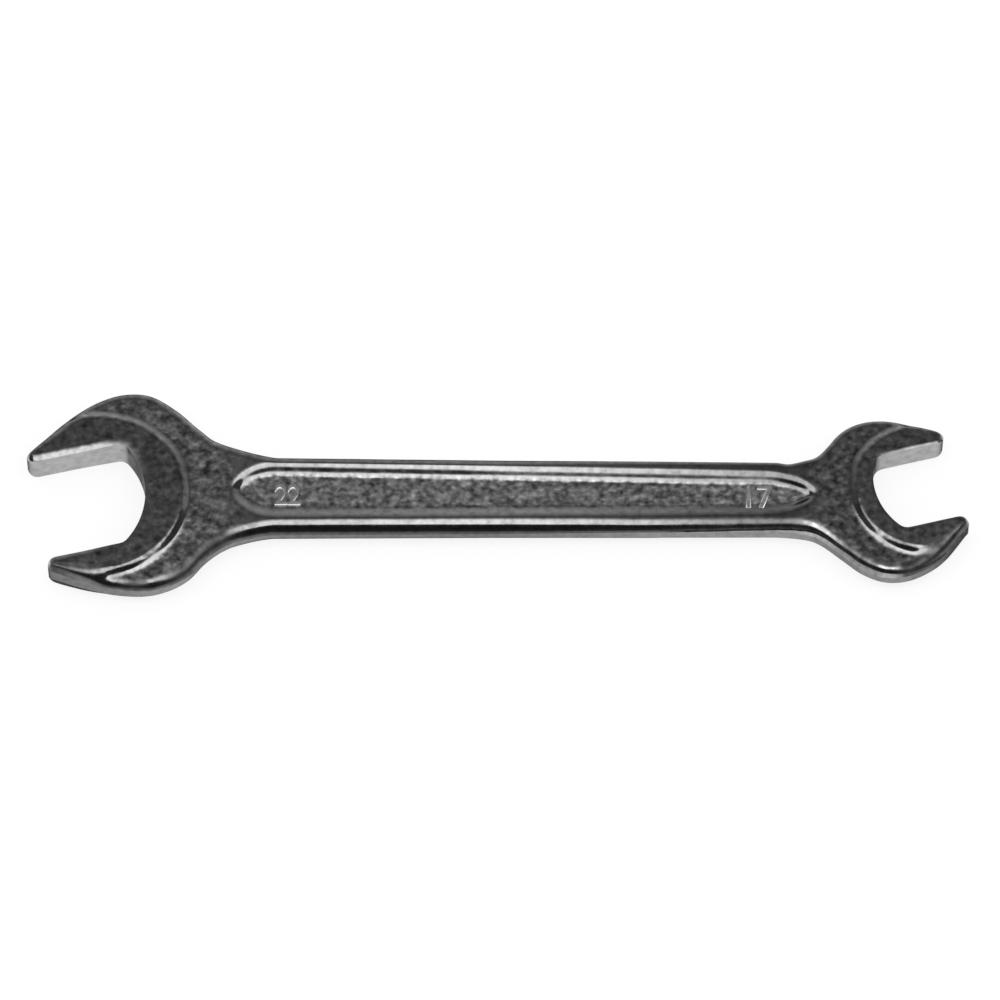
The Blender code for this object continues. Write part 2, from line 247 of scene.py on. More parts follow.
# The opening from the outer tip's front, along its flat, round the throat and back to the inner tip's front. Each
# side is an arc of the lead radius off the mouth, a straight flat and a fillet, and the throat is one more arc.
def slotCurve(head):
    o, lead, corner = head["opening"], forging["leadRadius"], forging["cornerRadius"]
    half = o / 2
    cu, cw = (share * o for share in head["throatCentre"])
    radius = head["throatRadius"] * o
    sides = []
    for sign, key in ((-1, "outerTip"), (1, "innerTip")):
        tu, tw = head[key]
        front = (tu + head["tipRadius"]) * o
        middle = (half + lead + tw * o) / 2
        last = math.acos(1 - (middle - half) / lead)
        a = np.linspace(last, 0, 30)
        mouth = np.stack([front - lead * (1 - np.sin(a)), sign * (half + lead * (1 - np.cos(a)))], -1)
        across = half - corner - sign * cw
        fu, fw = cu - math.sqrt((radius - corner) ** 2 - across**2), sign * (half - corner)
        end = math.atan2(fw - cw, fu - cu) % math.tau
        b = np.linspace(sign * math.pi / 2 % math.tau, end, 20)
        fillet = np.stack([fu + corner * np.cos(b), fw + corner * np.sin(b)], -1)
        sides.append((np.vstack([mouth, fillet]), end))
    (outer, outerEnd), (inner, innerEnd) = sides
    c = np.linspace(outerEnd, innerEnd, 80)[1:-1]
    throat = np.stack([cu + radius * np.cos(c), cw + radius * np.sin(c)], -1)
    path = np.vstack([outer, throat, inner[::-1]])
    return toTool(head, path[:, 0], path[:, 1])


# The share of the panel's wall passed at a point: 0 at its edge and 1 at its foot. The edge is a superellipse at
# each nose, and the wall's offset that passes through the point is found by halving.
def panelWallShare(x, y):
    shoulders = [h["centre"][0] - h["side"] * (h["panelTipShare"] * h["opening"] + h["panelNose"]) for h in heads]
    y = y - forging["middleLine"] - np.interp(x, shoulders, [h["panelShift"] for h in heads])
    farRun, nearRun = forging["wallRuns"]
    wallRun = farRun + (nearRun - farRun) * ease(0.5 - y / forging["wallTurn"])
    y = np.abs(y)
    half = np.interp(x, shoulders, [h["panelHalfWidth"] for h in heads])
    beyond = np.maximum(shoulders[0] - x, 0) + np.maximum(x - shoulders[1], 0)
    nose = np.where(x < 0, largeHead["panelNose"], smallHead["panelNose"])
    power = forging["nosePower"]
    low, high = np.zeros_like(x), wallRun
    for _ in range(16):
        run = (low + high) / 2
        level = (y / (half - run)) ** power + (beyond / (nose - forging["noseRunShare"] * run)) ** power
        low, high = np.where(level < 1, run, low), np.where(level < 1, high, run)
    return low / wallRun


# How much of a jaw's pad is under a point: 1 inside its circle and 0 past the step. Between, with d the share of
# the step passed, it is an ease curve of 1 - d to a power. On the far side the step is wider and lies further out.
def padShare(head, x, y):
    o = head["opening"]
    centre = toTool(head, head["padCentre"][0] * o, head["padCentre"][1] * o)
    radius = head["padRadius"] * o
    far = ease((y - centre[1]) / (forging["farReach"] * radius))
    r = np.hypot(x - centre[0], y - centre[1]) - radius - head["farShift"] * far
    share = np.clip(1 - r / head["stepRun"] / (1 + head["farRunShare"] * far), 0, 1)
    return ease(share ** forging["padEdgePower"])


# A few slow waves, as a forging has: a sum of sines of a straight measure of x and y.
def unevenness(x, y):
    return sum(forging["waveHeight"] * np.sin(a * x + b * y + c) for a, b, c in forging["waves"])


# The height of the upper face over the mid-plane, before the sides are taken off. The step round a pad fades out
# towards the near tip, and each tip ends in a short round: with e the distance into it, a drop of e^2 / 2R.
def faceHeight(x, y):
    z = baseHeight(x)
    reach, radius = forging["tipRound"]
    for h in heads:
        fade = rise(h["side"] * x, *h["stepFade"]) * ease((h["centre"][1] - y) / forging["nearFadeRun"])
        z = z + h["webStep"] * (1 - (1 - fade) * (1 - padShare(h, x, y)))
        c, s = math.cos(h["turn"]), math.sin(h["turn"])
        u = c * (x - h["centre"][0]) + s * (y - h["centre"][1])
        w = c * (y - h["centre"][1]) - s * (x - h["centre"][0])
        front = np.where(w < 0, h["outerTip"][0], h["innerTip"][0]) + h["tipRadius"]
        z = z - np.clip(u - front * h["opening"] + reach, 0, None)**2 / (2 * radius)
    depth = np.interp(x, forging["shankEnds"], forging["panelDepths"])
    return z - depth * ease(panelWallShare(x, y)) + unevenness(x, y)


# A measure of the sides between the places where it was taken.
def sideAt(values, x):
    return np.interp(x, forging["sidePlaces"], values)


# The height of a side at a distance from the outline. From the face down it is an arc of radius R1 to the broad
# angle a, an arc of radius R2 to the side angle b, and a straight low slope s: with e the distance from the face's
# end, the drops are R1 - sqrt(R1^2 - e^2), then R2 cos a - sqrt(R2^2 - (e' + R2 sin a)^2), then s e''. The land
# below is a straight gentle slope.
def sideHeight(x, top, distance, broad):
    land = sideAt(forging["landRuns"], x) * broad
    foot, r2 = sideAt(forging["trimHalves"], x), sideAt(forging["rollRadii"], x)
    low = foot + forging["landSlope"] * land
    a, b = forging["broadAngle"], forging["sideAngle"]
    r1 = r2 + (sideAt(forging["broadRadii"], x) - r2) * broad
    r2 = r2 + (sideAt(forging["lowRadii"], x) - r2) * broad
    deep = np.clip(top - low, 1e-5, None)
    # sides too low for both arcs get smaller ones
    fit = np.minimum(1, deep / (r1 * (1 - math.cos(a)) + r2 * (math.cos(a) - math.cos(b))))
    r1, r2 = r1 * fit, r2 * fit
    run1, drop1 = r1 * math.sin(a), r1 * (1 - math.cos(a))
    run2, drop2 = r2 * (math.sin(b) - math.sin(a)), r2 * (math.cos(a) - math.cos(b))
    beyond = np.clip(distance - land, 0, None)
    e = np.clip(run1 + run2 + (deep - drop1 - drop2) / forging["lowSlope"] - beyond, 0, None)
    e1 = np.minimum(e, run1)
    e2 = np.clip(e - run1, 0, run2)
    fall = r1 - np.sqrt(r1**2 - e1**2) + r2 * math.cos(a) - np.sqrt(r2**2 - (e2 + r2 * math.sin(a))**2)
    fall = fall + np.clip(e - run1 - run2, 0, None) * forging["lowSlope"]
    return top - fall - forging["landSlope"] * np.clip(land - distance, 0, None)


# The finish of the forging. A pair is the start and the run of an ease curve.
finish = {
    # the web is grainy off the pad, from these distances from the middle on, and off the panel's wall
    "offPad": (0.86, 0.14),
    "webStarts": (0.046, 0.056),
    "webRun": 0.010,
    "offWall": (0.0, 0.1),
    # shares of the wall and of the step past which the panel's floor and the pad's flat begin
    "floorStart": (0.72, 0.24),
    "padStart": (0.55, 0.28),
    # the bump and the mottle: on walls and rims, and how much is added on the grainy parts and on the pads
    "grain": (0.08, 0.92, 0.32),
    "mottle": (0.25, 0.75, 0.40),
    "rolledGrain": 0.25,
    "trimmedGrain": 0.15,
    # tones of the bare metal, first along x at the side places
    "trimTones": (0.28, 0.29, 0.40, 0.25, 0.24, 0.33, 0.35, 0.33, 0.32),
    "forgedTones": (0.56, 0.52, 0.48, 0.46, 0.56, 0.44, 0.29, 0.42, 0.56),
    "grainyTones": (0.35, 0.35, 0.35, 0.41, 0.45, 0.42, 0.30, 0.235, 0.235),
    "floorTone": 0.49,
    "padTone": 0.35,
    # the openings' rounded edges have a tone of their own, raised on the large head as a painted highlight
    "edgeHighlightTones": (0.50, 0.34),
    "groundTone": 0.49,
    # slopes at which the trimmed band begins: the start, how much sooner on the far side, where its darker tone
    # is painted shade, and the run
    "trimStart": 0.55,
    "farShadeSooner": 0.25,
    "trimRun": 0.35,
    "landMargin": 0.0002,
    "landRun": 0.0003,
    # painted shade: the near roll's tone is darkened between two slopes, before the trimmed band
    "shadeDepth": 0.70,
    "shadeIn": (0.6, 0.5),
    "shadeOut": (1.9, 2.8),
    # it is dull in places: more satin and grainier, and darker, which is painted shade that dims the roll's
    # highlight
    "rollEnd": (0.60, 0.40),
    "dullAndShadedPlaces": (-0.0850, -0.0762, -0.0701, -0.0672, -0.0640, -0.0600, -0.0540, -0.0490, 0.0000, 0.0300,
                   0.0450, 0.0595, 0.0615, 0.0645, 0.0670, 0.0725, 0.0748, 0.0775, 0.0800, 0.0880),
    "dullAndShadedShares": (0.90, 0.00, 0.80, 0.00, 0.45, 1.00, 1.00, 0.10, 0.05, 0.10,
                   0.40, 0.35, 0.00, 0.10, 0.50, 0.45, 0.00, 0.00, 0.90, 1.00),
    "dullPaintedShade": 0.60,
    "dullSatin": 2.6,
    "dullGrain": 0.7,
    # and in others a painted highlight raises its tone
    "paintedHighlightPlaces": (0.0585, 0.0615, 0.0632, 0.0650, 0.0665, 0.0735, 0.0752, 0.0775, 0.0800),
    "paintedHighlightShares": (0.00, 1.30, 1.30, 0.70, 0.00, 0.00, 0.95, 0.95, 0.00),
}


# Three shares at a point: the grainy web and panel floor together, the flat of the jaw pads, and the panel's floor.
# Walls and rims have none of them.
def surfaceKinds(x, y):
    pads = sum(padShare(h, x, y) for h in heads)
    wall = panelWallShare(x, y)
    floor = rise(wall, *finish["floorStart"])
    web = rise(1 - pads, *finish["offPad"]) * (1 - rise(wall, *finish["offWall"]))
    web = web * rise(np.abs(x), np.where(x < 0, *finish["webStarts"]), finish["webRun"])
    return np.maximum(web, floor), rise(pads, *finish["padStart"]), floor


# The outline as one closed loop with a chosen number of vertices on every stretch. Corners are softened by an
# average along the loop whose weight at a distance d is exp(-d^2 / 2s^2), and each vertex keeps the inward normal
# of the softened curve.
def outlineLoop():
    largeOuter, largeInner = (flankCurve(largeHead, key, sign) for key, sign in (("outer", -1), ("inner", 1)))
    smallOuter, smallInner = (flankCurve(smallHead, key, sign) for key, sign in (("outer", -1), ("inner", 1)))
    stretches = [slotCurve(largeHead), largeInner[::-1], smallOuter,
                 slotCurve(smallHead), smallInner[::-1], largeOuter]
    raw = np.vstack([s[:-1] for s in stretches] + [stretches[0][:1]])
    marks = np.cumsum([0] + [len(s) - 1 for s in stretches])
    along = lengthsAlong(raw)
    count = int(along[-1] / forging["outlineSpacing"])
    dense = pointsAt(raw, along, np.linspace(0, along[-1], count + 1))[:-1]
    spacing = along[-1] / count
    reach = int(4 * forging["outlineSoftness"] / spacing)
    kernel = np.exp(-0.5 * (np.arange(-reach, reach + 1) * spacing / forging["outlineSoftness"]) ** 2)
    kernel /= kernel.sum()
    wrapped = np.vstack([dense[-reach:], dense, dense[:reach]])
    soft = np.stack([np.convolve(wrapped[:, k], kernel, "valid") for k in range(2)], -1)
    tangent = np.roll(soft, -1, 0) - np.roll(soft, 1, 0)
    tangent /= np.hypot(*tangent.T)[:, None]
    inward = np.stack([-tangent[:, 1], tangent[:, 0]], -1)
    at = np.arange(count + 1) * spacing
    table = np.hstack([np.vstack([soft, soft[:1]]), np.vstack([inward, inward[:1]])])
    poles = along[marks]

    # places along the loop where a stretch of it passes the given x
    def crossing(lo, hi, x):
        inside = (at >= lo) & (at <= hi)
        order = np.argsort(table[inside, 0])
        return np.interp(x, table[inside, 0][order], at[inside][order])

    # places along an opening, cut where the lines from the throat's centre to the neck's ends cross it
    def slotStations(head, start, end, ends):
        o = head["opening"]
        hub = toTool(head, head["throatCentre"][0] * o, head["throatCentre"][1] * o)
        inside = (at > start) & (at < end)
        rel = table[inside, :2] - hub
        bearing = np.arctan2(rel[:, 1], rel[:, 0])
        cuts = []
        for corner in ends:
            aim = math.atan2(corner[1] - hub[1], corner[0] - hub[0])
            gap = np.abs((bearing - aim + math.pi) % math.tau - math.pi)
            cuts.append(at[inside][np.argmin(gap)])
        n1, n3 = head["columns"]
        return np.concatenate([np.linspace(start, cuts[0], n1 + 1)[:-1],
                               np.linspace(cuts[0], cuts[1], forging["neckColumns"] + 1)[:-1],
                               np.linspace(cuts[1], end, n3 + 1)[:-1]])

    xl, xr = (h["centre"][0] - h["side"] * h["junctionShare"] * h["opening"] for h in heads)
    fine = np.linspace(xl, xr, 2001)
    leftReach, rightReach = forging["noseReaches"]
    density = 1 + forging["noseDensity"] * (ease(1 - (fine - xl) / leftReach) + ease(1 - (xr - fine) / rightReach))
    share = np.concatenate([[0], np.cumsum((density[1:] + density[:-1]) / 2)])
    columns = np.interp(np.linspace(0, share[-1], forging["shankColumns"] + 1), share, fine)
    # the stretches searched start and end well inside the flanks, where x only rises or only falls
    inset, overlap = 0.02, 0.002
    bottomL = crossing(poles[1] + inset, (poles[1] + poles[3]) / 2 + 1.5 * inset, xl)
    lower = crossing(bottomL - overlap, poles[3] - inset, columns)
    upper = crossing(poles[4] + inset, poles[6] - inset, columns[::-1])
    corner = lambda s: pointsAt(table[:, :2], at, np.array([s]))[0]
    largeEnds = (corner(upper[-1]), corner(lower[0]))
    smallEnds = (corner(lower[-1]), corner(upper[0]))
    a1, a3 = largeHead["columns"]
    b1, b3 = smallHead["columns"]
    # an opening is matched to its flanks and its neck, and the shank to columns of equal x
    stations = np.concatenate([
        slotStations(largeHead, poles[0], poles[1], largeEnds),
        np.linspace(poles[1], lower[0], a3 + 1)[:-1],
        lower[:-1],
        np.linspace(lower[-1], poles[3], b1 + 1)[:-1],
        slotStations(smallHead, poles[3], poles[4], smallEnds),
        np.linspace(poles[4], upper[0], b3 + 1)[:-1],
        upper[:-1],
        np.linspace(upper[-1], poles[6], a1 + 1)[:-1],
    ])
    found = pointsAt(table, at, stations)
    return found[:, :2], found[:, 2:], stations, poles, at[-1]


# Along the loop: 1 on the two openings and 0 on the flanks, turning over within a short reach r at each tip as the
# ease curves of (s - start + r) / 2r and (end - s + r) / 2r, multiplied.
def slotShare(stations, poles, total):
    share = np.zeros_like(stations)
    for start, end in ((poles[0], poles[1]), (poles[3], poles[4])):
        for shift in (-total, 0, total):
            s = stations + shift
            reach = forging["turnLength"]
            share += ease((s - start + reach) / (2 * reach)) * ease((end - s + reach) / (2 * reach))
    return np.clip(share, 0, 1)


# How far the sides lean in, as a share: full along the flanks, and less near the tips by an ease curve of the
# distance to the nearest one.
def leanShare(stations, poles, total):
    gap = np.full_like(stations, 1.0)
    for pole in (poles[0], poles[1], poles[3], poles[4]):
        for shift in (-total, 0, total):
            gap = np.minimum(gap, np.abs(stations + shift - pole))
    return forging["tipRunShare"] + (1 - forging["tipRunShare"]) * ease(gap / forging["tipRunLength"])


# Quads between neighbours of a grid of vertex numbers.
def gridFaces(ids):
    return np.stack([ids[:-1, :-1], ids[1:, :-1], ids[1:, 1:], ids[:-1, 1:]], -1).reshape(-1, 4)


# Faces turned so that each looks upwards, by the sign of the cross product of its diagonals or its edges.
def lookingUp(faces, points):
    p = points[faces]
    d1, d2 = p[:, 2] - p[:, 0], p[:, -1] - p[:, 1] if faces.shape[1] == 4 else p[:, 1] - p[:, 0]
    up = d1[:, 0] * d2[:, 1] - d1[:, 1] * d2[:, 0]
    if faces.shape[1] == 3:
        up = -up
    flipped = faces[:, ::-1]
    return np.where((up > 0)[:, None], faces, flipped)


# The band of rows along the outline. Row k lies inside the outline by e k + (1 - e) k^2 of the band's width, with k
# from 0 to 1, and evenly at the openings. Heights come from the face, lowered to the leaning side on the flanks and
# by d a^2 at the openings, where a falls from 1 at the edge to 0 at the end of its rounding.
def makeBand():
    edge, inward, stations, poles, total = outlineLoop()
    slotHere, lean = slotShare(stations, poles, total), leanShare(stations, poles, total)
    radius = np.where(edge[:, 0] < 0, largeHead["edgeRadius"], smallHead["edgeRadius"])
    k = np.arange(forging["bandRows"] + 1) / forging["bandRows"]
    even = forging["bandEvenness"]
    flankOffset = (even * k + (1 - even) * k * k)[:, None] * (forging["bandRun"] * lean)
    slotOffset = k[:, None] * radius
    offset = flankOffset + (slotOffset - flankOffset) * slotHere
    x, y = np.moveaxis(edge[None] + inward[None] * offset[..., None], -1, 0)
    top = faceHeight(x, y)
    nearSide = np.clip(inward[:, 1], 0, 1)
    side = sideHeight(x, top, offset / lean, nearSide)
    least = forging["innerDropShare"]
    drop = np.where(edge[:, 0] < 0, largeHead["edgeDrop"], smallHead["edgeDrop"])
    drop = drop * (least + (1 - least) * rise(np.abs(edge[:, 0]), *forging["mouthStart"]))
    arc = np.clip(1 - offset / radius, 0, 1)
    rounded = top - drop * arc**2
    return {"edge": edge, "inward": inward, "offset": offset, "lean": lean, "arc": arc, "slotHere": slotHere,
            "nearSide": nearSide, "x": x, "y": y, "z": side + (rounded - side) * slotHere}


# The upper face from the band inwards: straight rows from each opening to its flanks and neck, and straight columns
# across the shank, all lifted to the face's height. Gives the points, the quads and the triangles.
def fillFace(band):
    rows, count = band["x"].shape
    ringIds = np.arange(rows * count).reshape(rows, count)
    points = [np.stack([band["x"], band["y"], band["z"]], -1).reshape(-1, 3)]
    used = ringIds.size
    inner = ringIds[-1]
    a1, a3 = largeHead["columns"]
    b1, b3 = smallHead["columns"]
    n, ns = forging["neckColumns"], forging["shankColumns"]
    starts = np.cumsum([0, a1 + n + a3, a3, ns, b1, b1 + n + b3, b3, ns, a1])

    def loop(i, j):
        return inner[np.arange(starts[i], starts[j] + 1) % count]

    def raised(xy):
        return np.dstack([xy, faceHeight(xy[..., 0], xy[..., 1])]).reshape(-1, 3)

    junctions, fans, ends = [], [], []
    t = (np.arange(1, n) / n)[:, None]
    for i, j in ((7, 2), (3, 6)):
        first, last = inner[starts[i] % count], inner[starts[j] % count]
        a, b = points[0][first, :2], points[0][last, :2]
        points.append(raised((a + (b - a) * t)[None]))
        junctions.append(np.concatenate([[first], np.arange(used, used + n - 1), [last]]))
        used += n - 1
    known = np.vstack(points)
    # a head's opening, and the loop's stretches on both sides of its neck
    for head, slot, flankA, neck, flankB in ((largeHead, (0, 1), (7, 8), junctions[0], (1, 2)),
                                             (smallHead, (4, 5), (3, 4), junctions[1], (5, 6))):
        near = loop(*slot)
        far = np.concatenate([loop(*flankA)[::-1][:-1], neck[:-1], loop(*flankB)[::-1]])
        r = head["rows"]
        t = (np.arange(1, r) / r)[None, :, None]
        a, b = known[near, :2][:, None], known[far, :2][:, None]
        middle = (a + (b - a) * t)[1:-1]
        points.append(raised(middle))
        ids = np.arange(used, used + middle.shape[0] * (r - 1)).reshape(middle.shape[0], r - 1)
        used += ids.size
        fan = np.hstack([near[1:-1, None], ids, far[1:-1, None]])
        fans.append(fan)
        # the fan's first and last rows close to a point at the tips
        for pole, row in ((near[0], fan[0]), (near[-1], fan[-1])):
            ends.append(np.stack([np.full(len(row) - 1, pole), row[:-1], row[1:]], -1))
    lower, upper = loop(2, 3), loop(6, 7)[::-1]
    t = (np.arange(1, n) / n)[None, :, None]
    a, b = known[lower, :2][1:-1, None], known[upper, :2][1:-1, None]
    points.append(raised(a + (b - a) * t))
    ids = np.arange(used, used + (ns - 1) * (n - 1)).reshape(ns - 1, n - 1)
    shank = np.vstack([junctions[0][::-1], np.hstack([lower[1:-1, None], ids, upper[1:-1, None]]), junctions[1]])
    points = np.vstack(points)
    closed = np.hstack([ringIds, ringIds[:, :1]])
    quads = np.vstack([gridFaces(closed)] + [gridFaces(ids) for ids in (*fans, shank)])
    return points, lookingUp(quads, points), lookingUp(np.vstack(ends), points)


# The finish at the upper face's vertices, of which the band's come first: the bump's grain, the tone of the metal,
# how satin it is and how mottled. The tone blends from one kind of surface to the next by their shares, and the
# band's own carries painted light: it is multiplied by the near roll's painted shade, by 1 - dullness, which is
# painted shade too, and by 1 + the painted highlight, and the openings' rounded edges take a tone of their own,
# a painted highlight on the large head.
def finishAt(points, band):
    edge, offset, slotHere, nearSide = (band[key] for key in ("edge", "offset", "slotHere", "nearSide"))
    flankHere, ring = 1 - slotHere, slice(0, offset.size)
    x, y = points[:, 0], points[:, 1]
    # the rolls and the rounded edges of the openings are rubbed smooth
    steep = np.ones(len(points))
    steep[ring] = ease(offset / np.maximum(offset[-1:], 1e-6)).reshape(-1)
    rough, pads, floor = surfaceKinds(x, y)
    base, onRough, onPads = finish["grain"]
    rolled = finish["rolledGrain"]
    grain = (base + onRough * rough + onPads * pads) * (rolled + (1 - rolled) * steep)
    rough, pads = rough * steep, pads * steep
    base, onRough, onPads = finish["mottle"]
    mottle = base + onRough * rough + onPads * pads
    forged, grainy = sideAt(finish["forgedTones"], x), sideAt(finish["grainyTones"], x)
    tone = forged + (grainy - forged) * rough + (finish["padTone"] - forged) * pads
    tone = tone + (finish["floorTone"] - grainy) * floor
    # how far a vertex of the band is on the trimmed part, by its slope and by the land; on the far side it
    # begins at a lower slope, and its darker tone there is painted shade
    slant = np.gradient(band["z"], axis=0) / np.maximum(np.gradient(offset, axis=0), 1e-7)
    onset = finish["trimStart"] - finish["farShadeSooner"] * np.clip(-band["inward"][:, 1], 0, 1)
    land = sideAt(forging["landRuns"], edge[:, 0]) * nearSide
    landShare = ease((land + finish["landMargin"] - offset / band["lean"]) / finish["landRun"])
    landShare = landShare * ease(land / finish["landRun"])
    trimmed = np.maximum(rise(slant, onset, finish["trimRun"]), landShare) * flankHere
    # the near roll, with painted shade between two slopes
    shade = rise(slant, *finish["shadeIn"]) * (1 - rise(slant, *finish["shadeOut"]))
    shade = 1 - nearSide * flankHere * finish["shadeDepth"] * shade
    onRoll = nearSide * flankHere * (1 - rise(offset / offset[-1:], *finish["rollEnd"]))
    # dull places are more satin and grainier, and their darker tone is painted shade over the roll's highlight
    dullAndShaded = np.interp(edge[:, 0], finish["dullAndShadedPlaces"], finish["dullAndShadedShares"]) * onRoll
    # a painted highlight: the tone is raised in some places on the near roll
    paintedHighlight = np.interp(edge[:, 0], finish["paintedHighlightPlaces"], finish["paintedHighlightShares"]) * onRoll * (1 - trimmed)
    banded = tone[ring].reshape(offset.shape)
    banded = banded + (sideAt(finish["trimTones"], band["x"]) - sideAt(finish["forgedTones"], band["x"])) * trimmed
    banded = banded * (shade + (1 - shade) * dullAndShaded) * (1 - finish["dullPaintedShade"] * dullAndShaded) * (1 + paintedHighlight)
    # a painted highlight: the openings' rounded edges blend to a tone of their own
    edgeHighlightTone = np.where(edge[:, 0] < 0, *finish["edgeHighlightTones"])
    tone[ring] = (banded + (edgeHighlightTone - banded) * slotHere * band["arc"]).reshape(-1)
    satin = np.zeros(len(points))
    satin[ring] = np.maximum(trimmed, finish["dullSatin"] * dullAndShaded).reshape(-1)
    grain[ring] += finish["dullGrain"] * dullAndShaded.reshape(-1)
    return grain, tone, satin, mottle


# The body: the upper face, the lower face that mirrors it, and the trimmed band between, which stands upright.
def makeBody():
    band = makeBand()
    points, quads, tris = fillFace(band)
    edge, count, used = band["edge"], len(band["edge"]), len(points)
    levels = np.array(forging["wallLevels"])[:, None]
    wall = np.stack([edge[:, 0] + 0 * levels, edge[:, 1] + 0 * levels, levels * band["z"][0]], -1).reshape(-1, 3)
    wallIds = used * 2 + np.arange(len(wall)).reshape(-1, count)
    column = np.vstack([np.arange(count), wallIds, np.arange(count) + used])
    sides = gridFaces(np.hstack([column, column[:, :1]]))
    allPoints = np.vstack([points, points * (1, 1, -1), wall])
    p = allPoints[sides[0]]
    facing = np.cross(p[1] - p[0], p[2] - p[0])
    if facing[:2] @ band["inward"][0] > 0:
        sides = sides[:, ::-1]
    allPoints[:, 2] += forging["midHeight"]
    groups = (quads, tris, quads[:, ::-1] + used, tris[:, ::-1] + used, sides)
    faces = [face for group in groups for face in group.tolist()]
    mesh = bpy.data.meshes.new("forgedBodySurface")
    mesh.from_pydata(allPoints.tolist(), [], faces)
    mesh.validate()
    grain, tone, satin, mottle = finishAt(points, band)
    trimTone = sideAt(finish["trimTones"], edge[:, 0])
    wallTone = trimTone + (finish["groundTone"] - trimTone) * band["slotHere"]
    walls = np.full(len(wall), finish["trimmedGrain"])
    for name, values, onWall in (("grain", grain, walls), ("tone", tone, np.tile(wallTone, len(levels))),
                                 ("satin", satin, np.ones(len(wall))), ("mottle", mottle, walls)):
        layer = mesh.attributes.new(name, "FLOAT", "POINT")
        layer.data.foreach_set("value", np.concatenate([values, values, onWall]).astype(np.float32))
    mesh.shade_smooth()
    mesh.set_sharp_from_angle(angle=math.radians(50))
    made = bpy.data.objects.new("wrench_forging", mesh)
    bpy.context.collection.objects.link(made)
    print("forging:", len(allPoints), "vertices,", len(faces), "faces")
    return made


# A node of a material or the world with its settings. Each input named or numbered is joined to an output of
# another node, or set to a plain value.
def addNode(tree, kind, inputs=None, **settings):
    node = tree.nodes.new(kind)
    for name, value in settings.items():
        setattr(node, name, value)
    for name, value in (inputs or {}).items():
        if isinstance(value, bpy.types.NodeSocket):
            tree.links.new(value, node.inputs[name])
        else:
            node.inputs[name].default_value = value
    return node


# The output of a math node.
def addMath(tree, operation, *values, clamp=False):
    return addNode(tree, "ShaderNodeMath", dict(enumerate(values)), operation=operation, use_clamp=clamp).outputs[0]


# 1 for rays from the camera and for rays reflected or passed through, and 0 for the rest.
def seenDirectly(tree):
    path = addNode(tree, "ShaderNodeLightPath")
    seen = addMath(tree, "MAXIMUM", path.outputs["Is Camera Ray"], path.outputs["Is Glossy Ray"])
    return addMath(tree, "MAXIMUM", seen, path.outputs["Is Transmission Ray"])


# Bright plating over forged steel. The bump is a broad and a fine noise, scaled by the grain attribute. The tone
# attribute is the metal's colour with painted shade and painted highlights in places, broken up by a third noise
# where the mottle attribute says so. The satin attribute roughens the trimmed band and the jaws' flats.
def platedSteel():
    look = {"roughness": (0.05, 0.11), "roughNoise": (0.3, 0.7), "satin": 0.14, "grainShare": 0.20,
            "grainScale": 520, "fineScale": 1300, "fineShare": 0.12, "depth": 0.00012,
            "mottleScale": 760, "mottle": 1.7, "edgeTint": (1.0, 0.12)}
    material = bpy.data.materials.new("bright_plated_steel")
    material.use_nodes = True
    tree = material.node_tree
    shader = tree.nodes["Principled BSDF"]
    shader.inputs["Metallic"].default_value = 1.0
    place = addNode(tree, "ShaderNodeTexCoord").outputs["Object"]
    grain, tone, satin, mottle = (addNode(tree, "ShaderNodeAttribute", attribute_name=name).outputs["Fac"]
                                  for name in ("grain", "tone", "satin", "mottle"))
    broad, fine, patches = (
        addNode(tree, "ShaderNodeTexNoise", {"Vector": place, "Scale": scale, "Detail": detail}).outputs["Fac"]
        for scale, detail in ((look["grainScale"], 1.2), (look["fineScale"], 1.5), (look["mottleScale"], 1.0)))
    # centred on nought, so that a change of the grain's share leaves no step
    blend = addMath(tree, "MULTIPLY_ADD", fine, look["fineShare"], broad)
    centred = addMath(tree, "SUBTRACT", blend, 0.5 + 0.5 * look["fineShare"])
    height = addMath(tree, "MULTIPLY", centred, grain)
    bump = addNode(tree, "ShaderNodeBump", {"Distance": look["depth"], "Strength": 1.0, "Height": height})
    tree.links.new(bump.outputs["Normal"], shader.inputs["Normal"])
    # the tone is multiplied by (2 noise) to the power of the mottle attribute times its share
    doubled = addMath(tree, "MULTIPLY", patches, 2.0)
    swing = addMath(tree, "POWER", doubled, addMath(tree, "MULTIPLY", mottle, look["mottle"]))
    tree.links.new(addMath(tree, "MULTIPLY", tone, swing, clamp=True), shader.inputs["Base Color"])
    (fromMin, fromMax), (toMin, toMax) = look["roughNoise"], look["roughness"]
    rough = addNode(tree, "ShaderNodeMapRange", {"Value": broad, "From Min": fromMin, "From Max": fromMax,
                                                 "To Min": toMin, "To Max": toMax}).outputs["Result"]
    rough = addMath(tree, "MULTIPLY_ADD", satin, look["satin"], rough)
    rough = addMath(tree, "MULTIPLY_ADD", grain, look["grainShare"], rough)
    tree.links.new(rough, shader.inputs["Roughness"])
    # the trimmed band is matt, so it stays dark where it is seen at a grazing angle
    toMin, toMax = look["edgeTint"]
    tint = addNode(tree, "ShaderNodeMapRange", {"Value": satin, "To Min": toMin, "To Max": toMax})
    tree.links.new(tint.outputs["Result"], shader.inputs["Specular Tint"])
    return material


